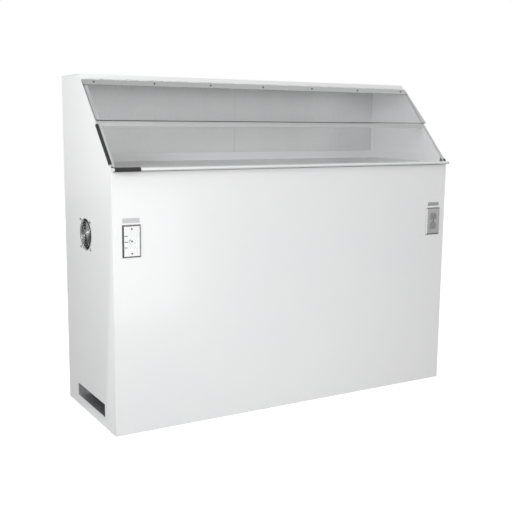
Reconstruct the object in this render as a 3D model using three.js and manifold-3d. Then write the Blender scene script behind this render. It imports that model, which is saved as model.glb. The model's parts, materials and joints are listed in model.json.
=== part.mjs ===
// Bench fume hood: a sheet-metal cabinet with a stainless work chamber, a clear
// hinged visor, charcoal filters, a centrifugal blower and a small side fan.
// Millimetres, +Z up. X is the width (+X is the right-hand side of somebody
// working at it), -Y is the front, and the floor is at Z = 0.
import * as THREE from 'three';
import { mergeVertices } from 'three/addons/utils/BufferGeometryUtils.js';
import Module from 'manifold-3d';

const wasm = await Module();
wasm.setup();

// ---------------------------------------------------------------- driving dimensions
const WIDTH = 1524;            // 60 in cabinet
const DEPTH = 524;             // front sheet to back sheet
const HEIGHT = 1293;           // floor to roof
const FRONT_EDGE = 962;        // height where the sloping face starts
const ROOF_DEPTH = 210;        // flat roof, front to back
const SHEET = 1.5;             // painted steel
const LINER = 1.0;             // stainless lining
const PAN = 1.2;               // stainless work surface
const GAP = 0.3;               // clearance between touching pieces
const SIDE_FLANGE = 15;        // sloping flange of a side panel
const FRAME_FLANGE = 20;       // its front, back and bottom flanges
const ROOF_LIP = 27;           // the roof's lip, down the slope

const LINER_X = 745;           // inner face of the chamber's side lining
const BACK_Y = 245;            // face of the chamber's back lining
const BACK_SEAM_X = -5;        // joint between the two back linings
const UPSTAND = 32;            // height of the work pan's upstand
const WORK_Z = 960;            // work surface
const NOSE_Y = -283;           // front of the rounded nosing
const NOSE_TOP = 964;
const NOSE_R = 6;

const PIVOT_S = 29.2;          // visor hinge, distance down the slope from the roof corner
const PIVOT_O = 2.9;           // visor hinge, height above the slope
const VISOR_TILT = 2.3;        // degrees the closed visor stands off the slope
const VISOR_LENGTH = 209.8;
const VISOR_T = 4;
const KNUCKLES = 29;
const KNUCKLE_R = 2.4;
const PIN_R = 0.9;
const BORE_R = 1.3;
const HINGE_HALF = 744;
const LEAF_WIDTH = 26;
const VISOR_SCREW_PITCH = 241;
const VISOR_SCREW_SHIFT = 4.5;
const VISOR_SCREWS = 7;

const RAIL_S = [237, 254];     // cross rail, down the slope
const TRIM_S = [250, 437];     // rubber edge trim on the left

const FAN_Y = 15;              // side fan axis
const FAN_Z = 703;
const FAN_SIZE = 119;
const FAN_DEPTH = 38;
const FAN_PITCH = 105;         // screw spacing of a 120 mm fan
const FAN_BORE = 56.5;

const OUTLET_Y = [-152, 150];  // low discharge opening in the left side
const OUTLET_Z = [38.5, 88.5];

const PLATE_Z = 707;           // height of the switch and socket plates
const SWITCH_X = -691.75;
const SOCKET_X = 697.5;
const PLATE_H = 117;
const SWITCH_PLATE_W = 70;
const SOCKET_PLATE_W = 75;
const PLATE_SCREW = 43.5;      // plate screws above and below the centre
const BOX_W = 60;
const BOX_H = 100;
const BOX_DEPTH = 48;
const TOGGLE_PIVOT = 1;        // toggle pivot, behind the front sheet's face

const SHELF_Z = 800;           // shelf that carries the filters
const BLOWER = { x: -120, z: 232, half: 60, wheel: 118 };
const GLAND = { x: 520, z: 110 };

// ---------------------------------------------------------------- derived
const HX = WIDTH / 2;
const YF = -DEPTH / 2;
const YB = DEPTH / 2;
const YR = YB - ROOF_DEPTH;
const SLOPE = Math.hypot(YR - YF, HEIGHT - FRONT_EDGE);
const UY = (YR - YF) / SLOPE;
const UZ = (HEIGHT - FRONT_EDGE) / SLOPE;
const SLOPE_ANGLE = Math.atan2(UZ, UY);
// A point s millimetres down the slope from the roof corner and o above it, as [y, z].
const S = (s, o) => [YR - s * UY - o * UZ, HEIGHT - s * UZ + o * UY];

// ---------------------------------------------------------------- geometry helpers
function merged(geometry) {
  const g = geometry.clone();
  for (const name of Object.keys(g.attributes)) if (name !== 'position') g.deleteAttribute(name);
  const m = mergeVertices(g, 1e-4);
  const index = [];
  for (let i = 0; i < m.index.count; i += 3) {
    const [a, b, c] = [m.index.getX(i), m.index.getX(i + 1), m.index.getX(i + 2)];
    if (a !== b && b !== c && c !== a) index.push(a, b, c);
  }
  m.setIndex(index);
  return m;
}
function toSolid(geometry) {
  const g = merged(geometry);
  return new wasm.Manifold(new wasm.Mesh({
    numProp: 3,
    vertProperties: new Float32Array(g.attributes.position.array),
    triVerts: new Uint32Array(g.index.array),
  }));
}
function toGeometry(solid) {
  const mesh = solid.getMesh();
  const g = new THREE.BufferGeometry();
  const n = mesh.numProp;
  const count = mesh.vertProperties.length / n;
  const p = new Float32Array(count * 3);
  for (let i = 0; i < count; i++) for (let k = 0; k < 3; k++) p[i * 3 + k] = mesh.vertProperties[i * n + k];
  g.setAttribute('position', new THREE.BufferAttribute(p, 3));
  g.setIndex(Array.from(mesh.triVerts));
  g.computeVertexNormals();
  return g;
}
const join = (...parts) => toGeometry(parts.map(toSolid).reduce((a, b) => a.add(b)));
const cut = (base, ...tools) => toGeometry(tools.map(toSolid).reduce((a, b) => a.subtract(b), toSolid(base)));

function box(x0, x1, y0, y1, z0, z1) {
  const g = new THREE.BoxGeometry(x1 - x0, y1 - y0, z1 - z0);
  g.translate((x0 + x1) / 2, (y0 + y1) / 2, (z0 + z1) / 2);
  return g;
}
function extruded(points, depth, holes = []) {
  const shape = new THREE.Shape(points.map(([u, v]) => new THREE.Vector2(u, v)));
  for (const h of holes) shape.holes.push(new THREE.Path(h.map(([u, v]) => new THREE.Vector2(u, v))));
  return new THREE.ExtrudeGeometry(shape, { depth, bevelEnabled: false });
}
const axis = (x, y, z) => new THREE.Vector3(x, y, z);
// Prisms along X from [y, z] points, along Y from [x, z] points and along Z from [x, y] points.
function prismX(points, x0, x1, holes) {
  const g = extruded(points, x1 - x0, holes);
  g.applyMatrix4(new THREE.Matrix4().makeBasis(axis(0, 1, 0), axis(0, 0, 1), axis(1, 0, 0)).setPosition(x0, 0, 0));
  return g;
}
function prismY(points, y0, y1, holes) {
  const g = extruded(points, y1 - y0, holes);
  g.applyMatrix4(new THREE.Matrix4().makeBasis(axis(1, 0, 0), axis(0, 0, 1), axis(0, -1, 0)).setPosition(0, y1, 0));
  return g;
}
function circle(r, n, u = 0, v = 0, turn = 0) {
  return Array.from({ length: n }, (_, i) => {
    const a = turn + (i / n) * 2 * Math.PI;
    return [u + r * Math.cos(a), v + r * Math.sin(a)];
  });
}
const cylX = (r, x0, x1, y, z, n = 16) => prismX(circle(r, n, y, z), x0, x1);
const cylY = (r, y0, y1, x, z, n = 16) => prismY(circle(r, n, x, z), y0, y1);
// A solid turned about the Y axis, from [y, radius] points that start and end on the axis.
function turnedY(profile, n = 16) {
  const g = new THREE.LatheGeometry(profile.map(([y, r]) => new THREE.Vector2(r, y)), n);
  return g;
}
function mirrored(geometry) {
  const g = merged(geometry);
  g.applyMatrix4(new THREE.Matrix4().makeScale(-1, 1, 1));
  const i = g.index.array;
  for (let k = 0; k < i.length; k += 3) [i[k + 1], i[k + 2]] = [i[k + 2], i[k + 1]];
  return g;
}
// A six-sided solid between two rectangles: r0 at position p0 and r1 at p1 along `along` ("x" or "y").
// A rectangle is [low u, high u, low v, high v], with (u, v) = (y, z) along x and (x, z) along y.
function between(along, p0, r0, p1, r1) {
  const c = ([a, b, d, e], p) => [[a, d], [b, d], [b, e], [a, e]].map(([u, v]) => (along === 'x' ? [p, u, v] : [u, p, v]));
  const v = [...c(r0, p0), ...c(r1, p1)];
  let faces = [[0, 3, 2, 1], [4, 5, 6, 7], [0, 1, 5, 4], [1, 2, 6, 5], [2, 3, 7, 6], [3, 0, 4, 7]];
  const flip = (along === 'x') !== (p1 > p0);
  const pos = [];
  for (const f of faces) {
    const [a, b, d, e] = flip ? [...f].reverse() : f;
    for (const i of [a, b, d, a, d, e]) pos.push(...v[i]);
  }
  const g = new THREE.BufferGeometry();
  g.setAttribute('position', new THREE.BufferAttribute(new Float32Array(pos), 3));
  return g;
}

// ---------------------------------------------------------------- materials
const paint = (color, roughness, metalness, more = {}) => new THREE.MeshStandardMaterial({ color, roughness, metalness, ...more });
const M = {
  white: paint(0xf2f3f4, 0.35, 0.0),
  stainless: paint(0xb9bcbf, 0.32, 1.0),
  bright: paint(0xd3d6d8, 0.18, 1.0),
  clear: paint(0xe9eef0, 0.05, 0.0, { transparent: true, opacity: 0.25 }),
  rubber: paint(0x1a1a1a, 0.8, 0.0),
  softRubber: paint(0xd9dadb, 0.6, 0.0),
  blackPlastic: paint(0x202122, 0.5, 0.0),
  galvanised: paint(0x9a9ea1, 0.5, 0.9),
  plate: paint(0xcfd1d2, 0.3, 0.9),
  socket: paint(0xc9cacb, 0.45, 0.0),
  label: paint(0xc4c7ca, 0.6, 0.0),
  carbon: paint(0x2b2b2c, 0.9, 0.0),
  pad: paint(0xdfe2e0, 0.95, 0.0),
  motor: paint(0x3a3d40, 0.5, 0.5),
  nylon: paint(0x2a2a2b, 0.55, 0.0),
};

const hood = new THREE.Group();
function part(name, geometry, material, parent = hood) {
  const mesh = new THREE.Mesh(geometry, material);
  mesh.name = name;
  parent.add(mesh);
  return mesh;
}

// ---------------------------------------------------------------- cabinet shell
const under = SHEET + GAP;      // inset of a panel under the sheet that laps it
const slopeAt = (y, o) => {     // height of the plane o above the slope, at y
  const [y0, z0] = S(0, o);
  return z0 + (y - y0) * (UZ / UY);
};
const slopeY = (z, o) => {
  const [y0, z0] = S(0, o);
  return y0 + (z - z0) * (UY / UZ);
};

function sidePanel(...cuts) {   // the right-hand one
  const y0 = YF + under, y1 = YB - under, z0 = under, z1 = HEIGHT - under;
  const f = 0.2;                // the flanges cover the plate's edges
  const plate = prismX([
    [y0 + f, z0 + f], [y0 + f, slopeAt(y0 + f, -under - f)], [slopeY(z1 - f, -under - f), z1 - f], [y1 - f, z1 - f], [y1 - f, z0 + f],
  ], HX - SHEET, HX);
  const slope = prismX([S(1.2, -under), S(445, -under), S(445, -under - SHEET), S(1.2, -under - SHEET)], HX - SIDE_FLANGE, HX);
  const front = box(HX - FRAME_FLANGE, HX, y0, y0 + SHEET, z0, slopeAt(y0, -under) - 8);
  const back = box(HX - FRAME_FLANGE, HX, y1 - SHEET, y1, z0, z1);
  const bottom = box(HX - FRAME_FLANGE, HX, y0, y1, z0, z0 + SHEET);
  const top = box(HX - SIDE_FLANGE, HX, YR + 4, y1, z1 - SHEET, z1);
  const whole = join(plate, slope, front, back, bottom, top);
  return cuts.length ? cut(whole, ...cuts) : whole;
}
part('side_panel_right', sidePanel(), M.white);

const corners = [[1, 1], [-1, 1], [-1, -1], [1, -1]].map(([a, b]) => [FAN_Y + (a * FAN_PITCH) / 2, FAN_Z + (b * FAN_PITCH) / 2]);
part('side_panel_left', mirrored(sidePanel(
  cylX(57, HX - 10, HX + 10, FAN_Y, FAN_Z, 32),
  ...corners.map(([y, z]) => cylX(2.3, HX - 10, HX + 10, y, z, 8)),
  box(HX - 10, HX + 10, OUTLET_Y[0], OUTLET_Y[1], OUTLET_Z[0], OUTLET_Z[1]),
)), M.white);

part('front_panel', cut(
  join(box(-HX, HX, YF, YF + SHEET, 0, 949.5), box(-740, 740, YF, YF + 20, 948, 949.5)),
  ...[SWITCH_X, SOCKET_X].map((x) => box(x - 25, x + 25, YF - 5, YF + 5, PLATE_Z - 37, PLATE_Z + 37)),
  ...[1, -1].map((s) => cylY(2.1, YF - 5, YF + 5, SWITCH_X, PLATE_Z + s * PLATE_SCREW, 8)),
), M.white);

part('back_panel', cut(
  box(-HX, HX, YB - SHEET, YB, 0, HEIGHT - under),
  cylY(10, YB - 5, YB + 5, GLAND.x, GLAND.z, 16),
), M.white);

part('roof_panel', prismX([
  [YB, HEIGHT], [YR, HEIGHT], S(ROOF_LIP, 0), S(ROOF_LIP, -SHEET),
  [slopeY(HEIGHT - SHEET, -SHEET), HEIGHT - SHEET], [YB, HEIGHT - SHEET],
], -HX, HX), M.white);

part('base_pan', join(
  box(-HX, HX, YF + under, YB - under, 0, SHEET),
  box(-740, 740, YF + under, YF + under + SHEET, 0, 20),
  box(-740, 740, YB - under - SHEET, YB - under, 0, 20),
), M.white);

// ---------------------------------------------------------------- stainless chamber
const backLining = (x0, x1) => box(x0, x1, BACK_Y, BACK_Y + LINER, 955, 1289);
part('liner_back_left', backLining(-746, BACK_SEAM_X - 0.3), M.stainless);
part('liner_back_right', backLining(BACK_SEAM_X + 0.3, 746), M.stainless);
const sideLining = prismX([
  [-240, 955], [-240, slopeAt(-240, -2.2)], [slopeY(1289, -2.2), 1289], [BACK_Y - GAP, 1289], [BACK_Y - GAP, 955],
], LINER_X, LINER_X + LINER);
part('liner_right', sideLining, M.stainless);
part('liner_left', mirrored(sideLining), M.stainless);

// Work pan: floor, upstands round three sides and a rounded nosing over the front sheet.
const arc = (cy, cz, r, a0, a1, n) => Array.from({ length: n + 1 }, (_, i) => {
  const a = ((a0 + ((a1 - a0) * i) / n) * Math.PI) / 180;
  return [cy + r * Math.cos(a), cz + r * Math.sin(a)];
});
const NC = [NOSE_Y + NOSE_R, NOSE_TOP - NOSE_R];
const noseBack = YF - GAP;
const noseOuter = arc(NC[0], NC[1], NOSE_R, 90, 270, 8);
const noseInner = arc(NC[0], NC[1], NOSE_R - PAN, 270, 90, 8);
const pan = LINER_X - 0.4;
const noseUnder = [[noseBack, NOSE_TOP - 2 * NOSE_R], [noseBack, NOSE_TOP - 2 * NOSE_R + PAN], ...noseInner];
const nose = prismX([[noseBack, NOSE_TOP], ...noseOuter, ...noseUnder, [noseBack, NOSE_TOP - PAN]], -HX, HX);
const panBack = BACK_Y - 0.4;
const panSection = prismX([
  ...noseOuter, ...noseUnder, [-258.5, NOSE_TOP - PAN], [-252.5, WORK_Z - PAN],
  [panBack, WORK_Z - PAN], [panBack, WORK_Z + UPSTAND], [panBack - PAN, WORK_Z + UPSTAND], [panBack - PAN, WORK_Z],
  [-252, WORK_Z], [-258, NOSE_TOP],
], -pan, pan);
const noseEnd = (x0, x1) => prismX([[noseBack, NOSE_TOP], ...noseOuter, [noseBack, NOSE_TOP - 2 * NOSE_R]], x0, x1);
const upstandSide = prismX([[-236, WORK_Z - 0.6], [panBack - 0.6, WORK_Z - 0.6], [panBack - 0.6, WORK_Z + UPSTAND - 0.3], [-225, WORK_Z + UPSTAND - 0.3], [-236, WORK_Z + 20]], pan - PAN, pan);
const GRILLE_X = [20, 700], GRILLE_Y = [-200, 200];
part('work_surface', cut(
  join(
    nose, panSection, noseEnd(-HX, -HX + SHEET), noseEnd(HX - SHEET, HX),
    upstandSide, mirrored(upstandSide),
  ),
  box(GRILLE_X[0], GRILLE_X[1], GRILLE_Y[0], GRILLE_Y[1], 900, 975),
  box(-GRILLE_X[1], -GRILLE_X[0], GRILLE_Y[0], GRILLE_Y[1], 900, 975),
), M.stainless);

function grille() {             // the right-hand lift-out grille
  const [x0, x1] = GRILLE_X, [y0, y1] = GRILLE_Y;
  const rim = cut(box(x0 + 1, x1 - 1, y0 + 1, y1 - 1, 950, 961.5), box(x0 + 2.2, x1 - 2.2, y0 + 2.2, y1 - 2.2, 940, 970));
  const slots = [];
  for (let i = 0; i < 17; i++) for (let j = 0; j < 4; j++) {
    const x = 360 + (i - 8) * 39, y = (j - 1.5) * 94;
    slots.push(box(x - 5, x + 5, y - 38, y + 38, 940, 970));
  }
  return cut(join(rim, box(x0 - 10, x1 + 10, y0 - 10, y1 + 10, WORK_Z + GAP, WORK_Z + GAP + PAN)), ...slots);
}
const grilleRight = grille();
part('work_grille_right', grilleRight, M.stainless);
part('work_grille_left', mirrored(grilleRight), M.stainless);

// Cross rail under the visor's lower edge, with a rolled lower edge.
const railBead = circle(2.2, 10).map(([a, b]) => S(RAIL_S[1] + 0.5 + a, -5.2 + b));
const slopeBox = (s0, s1, o0, o1) => [S(s0, o0), S(s1, o0), S(s1, o1), S(s0, o1)];
part('visor_rail', join(
  prismX([S(RAIL_S[0], -4), S(RAIL_S[1], -4), S(RAIL_S[1], -5.5), S(RAIL_S[0] + 1.5, -5.5), S(RAIL_S[0] + 1.5, -22), S(RAIL_S[0], -22)], -pan, pan),
  prismX(railBead, -pan, pan),
), M.stainless);

// ---------------------------------------------------------------- visor and its continuous hinge
const pitch = (2 * HINGE_HALF) / KNUCKLES;
const knuckleX = (i) => [-HINGE_HALF + i * pitch + 0.25, -HINGE_HALF + (i + 1) * pitch - 0.25];
const evens = [], odds = [];
for (let i = 0; i < KNUCKLES; i++) (i % 2 ? odds : evens).push(knuckleX(i));
const pivot = S(PIVOT_S, PIVOT_O);

part('hinge_leaf_fixed', cut(
  join(
    prismX([S(6, -1.8), S(27.6, -1.8), S(27.6, 0.2), S(28.8, 0.2), S(28.8, -3), S(6, -3)], -HINGE_HALF, HINGE_HALF),
    ...evens.map(([a, b]) => prismX(slopeBox(27.75, 28.65, 1.6, -1), a, b)),
    ...evens.map(([a, b]) => prismX(circle(KNUCKLE_R, 10, pivot[0], pivot[1]), a, b)),
  ),
  prismX(circle(BORE_R, 6, pivot[0], pivot[1]), -HINGE_HALF - 5, HINGE_HALF + 5),
), M.stainless);
part('hinge_pin', cylX(PIN_R, -HINGE_HALF - 1, HINGE_HALF + 1, pivot[0], pivot[1], 8), M.bright);

// The visor group's own +Y runs up the visor and its +Z points out of it, from the hinge axis.
const visorGroup = new THREE.Group();
visorGroup.position.set(0, pivot[0], pivot[1]);
visorGroup.rotation.x = SLOPE_ANGLE - (VISOR_TILT * Math.PI) / 180;
hood.add(visorGroup);
const screwX = Array.from({ length: VISOR_SCREWS }, (_, i) => VISOR_SCREW_SHIFT + (i - (VISOR_SCREWS - 1) / 2) * VISOR_SCREW_PITCH);
const SCREW_DOWN = -15.5;
const cylZ = (r, z0, z1, x, y, n = 12) => {
  const g = new THREE.ExtrudeGeometry(new THREE.Shape(circle(r, n, x, y).map(([u, v]) => new THREE.Vector2(u, v))), { depth: z1 - z0, bevelEnabled: false });
  g.translate(0, 0, z0);
  return g;
};
part('hinge_leaf_moving', cut(
  join(
    box(-HX + 0.5, HX - 0.5, -3 - LEAF_WIDTH, -3, 0.1, 1.1),
    ...odds.map(([a, b]) => box(a, b, -3.4, -1, 0.1, 1.1)),
    ...odds.map(([a, b]) => prismX(circle(KNUCKLE_R, 10), a, b)),
  ),
  prismX(circle(BORE_R, 6), -HINGE_HALF - 5, HINGE_HALF + 5),
  ...screwX.map((x) => cylZ(2.3, -5, 5, x, SCREW_DOWN, 10)),
), M.bright, visorGroup);
part('visor', cut(
  box(-HX, HX, -3.2 - VISOR_LENGTH, -3.2, -0.2 - VISOR_T, -0.2),
  ...screwX.map((x) => cylZ(2.3, -9, 5, x, SCREW_DOWN, 10)),
), M.clear, visorGroup);
const visorScrew = join(cylZ(3.6, 1.4, 2.9, 0, 0, 12), cylZ(2.6, 2.5, 3.2, 0, 0, 12), cylZ(1.8, -5.6, 2, 0, 0, 8));
screwX.forEach((x, i) => {
  const m = part(`visor_screw_${i + 1}`, visorScrew, M.bright, visorGroup);
  m.position.set(x, SCREW_DOWN, 0);
});

// Buffers under the visor's lower corners, on the side panels' flanges.
const buffer = new THREE.CylinderGeometry(4.4, 5.2, 7.6, 16);
for (const [name, side] of [['visor_buffer_left', -1], ['visor_buffer_right', 1]]) {
  const m = part(name, buffer, M.softRubber);
  const at = S(228, -1.5 + 3.8);
  m.position.set(side * (HX - 8), at[0], at[1]);
  m.rotation.x = SLOPE_ANGLE;          // the cylinder's own Y then runs up the slope ...
  m.rotateX(Math.PI / 2);              // ... and here it stands on the flange
}

// ---------------------------------------------------------------- rubber trims
const slopeGroup = new THREE.Group();
slopeGroup.position.set(0, YR, HEIGHT);
slopeGroup.rotation.x = SLOPE_ANGLE;
hood.add(slopeGroup);
const trim = (s0, s1) => join(
  box(-HX - 1.8, -HX + 8, -s1, -s0, -1.5, 0.5),
  box(-HX - 1.8, -HX - 0.3, -s1, -s0, -8, 0.5),
);
part('edge_trim_left', trim(TRIM_S[0], TRIM_S[1]), M.rubber, slopeGroup);
part('end_trim_right', mirrored(trim(440, 451)), M.rubber, slopeGroup);
part('nosing_trim_left', prismX([
  [-265, NOSE_TOP + GAP + 1.2], ...arc(NC[0], NC[1], NOSE_R + GAP + 1.2, 90, 270, 8), [-270, NOSE_TOP - 2 * NOSE_R - GAP - 1.2],
  [-270, NOSE_TOP - 2 * NOSE_R - GAP], ...arc(NC[0], NC[1], NOSE_R + GAP, 270, 90, 8), [-265, NOSE_TOP + GAP],
], -HX + 5, -HX + 101), M.rubber);

// ---------------------------------------------------------------- side fan
const fx0 = -HX + under, fx1 = fx0 + FAN_DEPTH;
const half = FAN_SIZE / 2;
const strut = (a) => {
  const g = new THREE.BoxGeometry(4, 5, FAN_BORE + 6 - 12);
  g.translate(fx1 - 2, 0, 12 + (FAN_BORE + 6 - 12) / 2);
  g.applyMatrix4(new THREE.Matrix4().makeRotationX(a));
  g.translate(0, FAN_Y, FAN_Z);
  return g;
};
part('fan_frame', join(
  cut(
    box(fx0, fx1, FAN_Y - half, FAN_Y + half, FAN_Z - half, FAN_Z + half),
    cylX(FAN_BORE, fx0 - 5, fx1 + 5, FAN_Y, FAN_Z, 32),
    ...corners.map(([y, z]) => cylX(2.3, fx0 - 5, fx1 + 5, y, z, 8)),
    box(fx0 + 5, fx1 - 5, FAN_Y - half - 5, FAN_Y - 30, FAN_Z + 62, FAN_Z + 80),
  ),
  cylX(22, fx1 - 5, fx1, FAN_Y, FAN_Z, 20),
  ...[0.4, 1.97, 3.54, 5.11].map(strut),
), M.blackPlastic);

const fanGroup = new THREE.Group();
fanGroup.position.set(fx0 + 17, FAN_Y, FAN_Z);
hood.add(fanGroup);
const BLADES = 7;
const blade = (k) => {
  const g = new THREE.BoxGeometry(1.8, 30, 36);
  g.applyMatrix4(new THREE.Matrix4().makeRotationZ((48 * Math.PI) / 180));
  g.translate(0, 0, 17 + 18);
  g.applyMatrix4(new THREE.Matrix4().makeRotationX((k * 2 * Math.PI) / BLADES));
  return g;
};
part('fan_rotor', join(cylX(20, -14, 15, 0, 0, 24), ...Array.from({ length: BLADES }, (_, k) => blade(k))), M.blackPlastic, fanGroup);

const ring = (r0, r1, n) => prismX(circle(r1, n, FAN_Y, FAN_Z), -HX - 2.3, -HX - 0.3, [circle(r0, n, FAN_Y, FAN_Z)]);
const spoke = (a) => {
  const g = new THREE.BoxGeometry(2, 3, 74);
  g.translate(-HX - 1.3, 0, 37);
  g.applyMatrix4(new THREE.Matrix4().makeRotationX(a));
  g.translate(0, FAN_Y, FAN_Z);
  return g;
};
part('fan_guard', cut(
  join(
    ring(57.5, 60, 28), ring(47, 49, 24), ring(36.5, 38.5, 20), ring(26, 28, 18), ring(15.5, 17.5, 14),
    cylX(5, -HX - 2.3, -HX - 0.3, FAN_Y, FAN_Z, 12),
    ...[0.25, 0.75, 1.25, 1.75].map((t) => spoke(t * Math.PI)),
    ...corners.map(([y, z]) => cylX(5.5, -HX - 2.3, -HX - 0.3, y, z, 12)),
  ),
  ...corners.map(([y, z]) => cylX(2.3, -HX - 5, -HX + 5, y, z, 8)),
), M.bright);
const fanScrew = join(cylX(4.2, -2.2, 0, 0, 0, 12), cylX(3, -2.8, -1, 0, 0, 12), cylX(1.8, -1, 26, 0, 0, 8));
corners.forEach(([y, z], i) => {
  part(`fan_screw_${i + 1}`, fanScrew, M.bright).position.set(-HX - 2.6, y, z);
});

// ---------------------------------------------------------------- switch
const plateShell = (w, x) => cut(
  between('y', YF - GAP, [x - w / 2, x + w / 2, PLATE_Z - PLATE_H / 2, PLATE_Z + PLATE_H / 2],
    YF - 4.8, [x - w / 2 + 5.5, x + w / 2 - 5.5, PLATE_Z - PLATE_H / 2 + 5.5, PLATE_Z + PLATE_H / 2 - 5.5]),
  between('y', YF + 1, [x - w / 2 - 0.4, x + w / 2 + 0.4, PLATE_Z - PLATE_H / 2 - 0.4, PLATE_Z + PLATE_H / 2 + 0.4],
    YF - 3.6, [x - w / 2 + 6, x + w / 2 - 6, PLATE_Z - PLATE_H / 2 + 6, PLATE_Z + PLATE_H / 2 - 6]),
);
part('switch_plate', cut(
  plateShell(SWITCH_PLATE_W, SWITCH_X),
  cylY(6.6, YF - 20, YF + 5, SWITCH_X, PLATE_Z, 16),
  ...[1, -1].map((s) => cylY(2.1, YF - 20, YF + 5, SWITCH_X, PLATE_Z + s * PLATE_SCREW, 8)),
), M.plate);
part('switch_body', cut(
  join(
    box(SWITCH_X - 9, SWITCH_X + 9, YF - 3.2, YF + 24, PLATE_Z - 17, PLATE_Z + 17),
    cylY(6.1, YF - 8, YF, SWITCH_X, PLATE_Z, 16),
    cylY(9, YF - 7.6, YF - 5.1, SWITCH_X, PLATE_Z, 6),
  ),
  cylY(4.7, YF - 20, YF + 5, SWITCH_X, PLATE_Z, 12),
), M.bright);
const lever = turnedY([[-27, 0], [-26.6, 2.2], [-24.5, 3.4], [-20, 3.2], [-9, 1.9], [-3, 1.7], [-2, 2.6], [0, 3], [2, 2.4], [3, 0]], 14);
part('toggle_lever', lever, M.bright).position.set(SWITCH_X, YF + TOGGLE_PIVOT, PLATE_Z);

const wiringBox = (x) => {
  const y0 = YF + under, w = BOX_W / 2, h = BOX_H / 2;
  const shell = cut(
    box(x - w, x + w, y0, y0 + BOX_DEPTH, PLATE_Z - h, PLATE_Z + h),
    box(x - w + SHEET, x + w - SHEET, y0 - 5, y0 + BOX_DEPTH - SHEET, PLATE_Z - h + SHEET, PLATE_Z + h - SHEET),
  );
  return cut(
    join(shell, ...[1, -1].map((s) => box(x - 6, x + 6, y0, y0 + 8, PLATE_Z + s * 44 - 5, PLATE_Z + s * 44 + 5))),
    ...[1, -1].map((s) => cylY(2.1, y0 - 5, y0 + 20, x, PLATE_Z + s * PLATE_SCREW, 8)),
  );
};
part('switch_box', wiringBox(SWITCH_X), M.galvanised);
const plateScrew = (reach) => join(cylY(3.2, -1.4, 0, 0, 0, 12), cylY(2.4, -1.9, -0.5, 0, 0, 12), cylY(1.6, -0.5, reach, 0, 0, 8));
const longScrew = plateScrew(15);
for (const [name, s] of [['switch_screw_top', 1], ['switch_screw_bottom', -1]]) {
  part(name, longScrew, M.bright).position.set(SWITCH_X, YF - 5.1, PLATE_Z + s * PLATE_SCREW);
}
part('label_strip_left', box(-725, -661, YF - 0.7, YF - GAP, 772, 788.5), M.label);

// ---------------------------------------------------------------- duplex socket
const faceOutline = (w, h, z) => {
  const c = 6;
  return [[-w, -h + c], [-w, h - c], [-w + c, h], [w - c, h], [w, h - c], [w, -h + c], [w - c, -h], [-w + c, -h]].map(([a, b]) => [SOCKET_X + a, PLATE_Z + z + b]);
};
part('socket_plate', cut(
  plateShell(SOCKET_PLATE_W, SOCKET_X),
  ...[19.5, -19.5].map((z) => prismY(faceOutline(17.2, 14.4, z), YF - 20, YF + 5)),
  cylY(2.0, YF - 20, YF + 5, SOCKET_X, PLATE_Z, 8),
), M.plate);
part('socket_body', cut(
  join(
    box(SOCKET_X - 17, SOCKET_X + 17, YF - 3.2, YF + 26, PLATE_Z - 34, PLATE_Z + 34),
    ...[19.5, -19.5].map((z) => prismY(faceOutline(16.8, 14.0, z), YF - 6.2, YF)),
  ),
  ...[19.5, -19.5].flatMap((z) => [
    box(SOCKET_X - 7.4, SOCKET_X - 5.2, YF - 20, YF + 9, PLATE_Z + z - 0.5, PLATE_Z + z + 7.5),
    box(SOCKET_X + 5.2, SOCKET_X + 7.4, YF - 20, YF + 9, PLATE_Z + z - 0.5, PLATE_Z + z + 7.5),
    cylY(2.6, YF - 20, YF + 9, SOCKET_X, PLATE_Z + z - 7, 10),
  ]),
  cylY(1.9, YF - 20, YF + 12, SOCKET_X, PLATE_Z, 8),
), M.socket);
part('socket_box', wiringBox(SOCKET_X), M.galvanised);
part('socket_screw', plateScrew(11), M.bright).position.set(SOCKET_X, YF - 5.1, PLATE_Z);
part('label_strip_right', box(668, 728, YF - 0.7, YF - GAP, 773.5, 788.5), M.label);

// Conduit between the two boxes, with a connector at each end.
const cx0 = SWITCH_X + BOX_W / 2 + GAP, cx1 = SOCKET_X - BOX_W / 2 - GAP;
part('wiring_conduit', cut(
  join(cylX(9.2, cx0, cx1, YF + 26, PLATE_Z, 16), cylX(13, cx0, cx0 + 22, YF + 26, PLATE_Z, 12), cylX(13, cx1 - 22, cx1, YF + 26, PLATE_Z, 12)),
  cylX(7.8, cx0 - 5, cx1 + 5, YF + 26, PLATE_Z, 12),
), M.galvanised);

// Cable gland for the supply lead, low on the back.
part('cable_gland', cut(
  join(
    cylY(9.4, 250, 276, GLAND.x, GLAND.z, 16),
    cylY(15, YB + GAP, YB + 6, GLAND.x, GLAND.z, 6),
    cylY(12, YB + 6, YB + 17, GLAND.x, GLAND.z, 16),
    cylY(15.5, YB - under - 5, YB - under, GLAND.x, GLAND.z, 6),
  ),
  cylY(4.8, 240, 300, GLAND.x, GLAND.z, 12),
), M.nylon);

// ---------------------------------------------------------------- filters
part('filter_shelf', cut(
  join(
    box(-760, 760, -258.3, 258.3, SHELF_Z, SHELF_Z + SHEET),
    box(-740, 740, -258.3, -256.8, SHELF_Z - 20, SHELF_Z),
    box(-740, 740, 256.8, 258.3, SHELF_Z - 20, SHELF_Z),
  ),
  box(45, 655, -190, 190, SHELF_Z - 5, SHELF_Z + 5),
  box(-655, -45, -190, 190, SHELF_Z - 5, SHELF_Z + 5),
), M.galvanised);
const filterZ = SHELF_Z + under;
const filter = cut(
  box(20, 680, -215, 215, filterZ, filterZ + 50),
  box(45, 655, -190, 190, filterZ - 5, filterZ + 5),
  box(45, 655, -190, 190, filterZ + 45, filterZ + 55),
);
part('charcoal_filter_right', filter, M.carbon);
part('charcoal_filter_left', mirrored(filter), M.carbon);
const pad = box(28, 672, -207, 207, filterZ + 50 + GAP, filterZ + 50 + GAP + 20);
part('prefilter_pad_right', pad, M.pad);
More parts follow.
